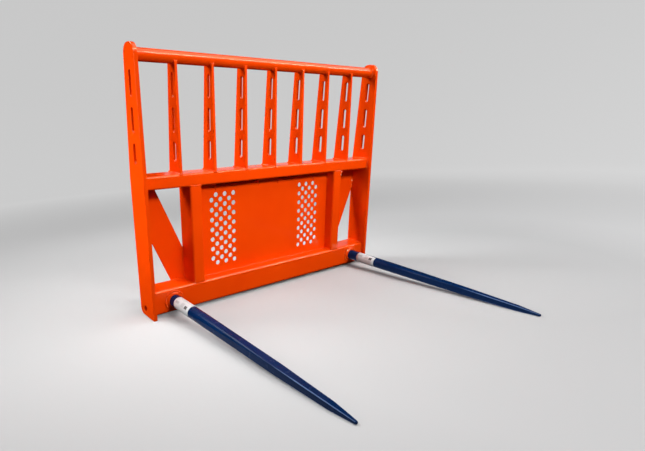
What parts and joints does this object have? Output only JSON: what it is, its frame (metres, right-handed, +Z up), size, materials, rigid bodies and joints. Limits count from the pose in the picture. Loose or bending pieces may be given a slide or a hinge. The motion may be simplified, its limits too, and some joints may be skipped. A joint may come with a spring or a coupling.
{
  "type": "bale spear",
  "caption": "Loader bale spear with a slotted-bar headboard, perforated centre panel and long tapered tines bolted into cone sockets in the bottom beam.",
  "frame": {"origin": "on the floor under the middle of the whole part", "axes": "+Z up, X across the frame, tines along -Y, back of the frame towards +Y"},
  "size_m": [1.22, 1.108, 0.997],
  "materials": {
    "frame_paint": "gloss orange paint",
    "tine_paint": "satin navy paint",
    "zinc_plate": "zinc plated",
    "label_wrap": "plain white wrap"
  },
  "bodies": {
    "root": {"top_rail": "frame_paint", "mid_beam": "frame_paint", "bottom_beam": "frame_paint", "centre_panel": "frame_paint", "upright_1": "frame_paint", "upright_2": "frame_paint", "upright_3": "frame_paint", "upright_4": "frame_paint", "upright_5": "frame_paint", "upright_6": "frame_paint", "upright_7": "frame_paint", "side_plate_left": "frame_paint", "inner_post_left": "frame_paint", "brace_left": "frame_paint", "tine_socket_left": "frame_paint", "side_plate_right": "frame_paint", "inner_post_right": "frame_paint", "brace_right": "frame_paint", "tine_socket_right": "frame_paint", "tine_left": "tine_paint", "tine_washer_left": "zinc_plate", "tine_nut_left": "zinc_plate", "tine_label_left": "label_wrap", "tine_right": "tine_paint", "tine_washer_right": "zinc_plate", "tine_nut_right": "zinc_plate", "tine_label_right": "label_wrap"}
  },
  "joints": []
}
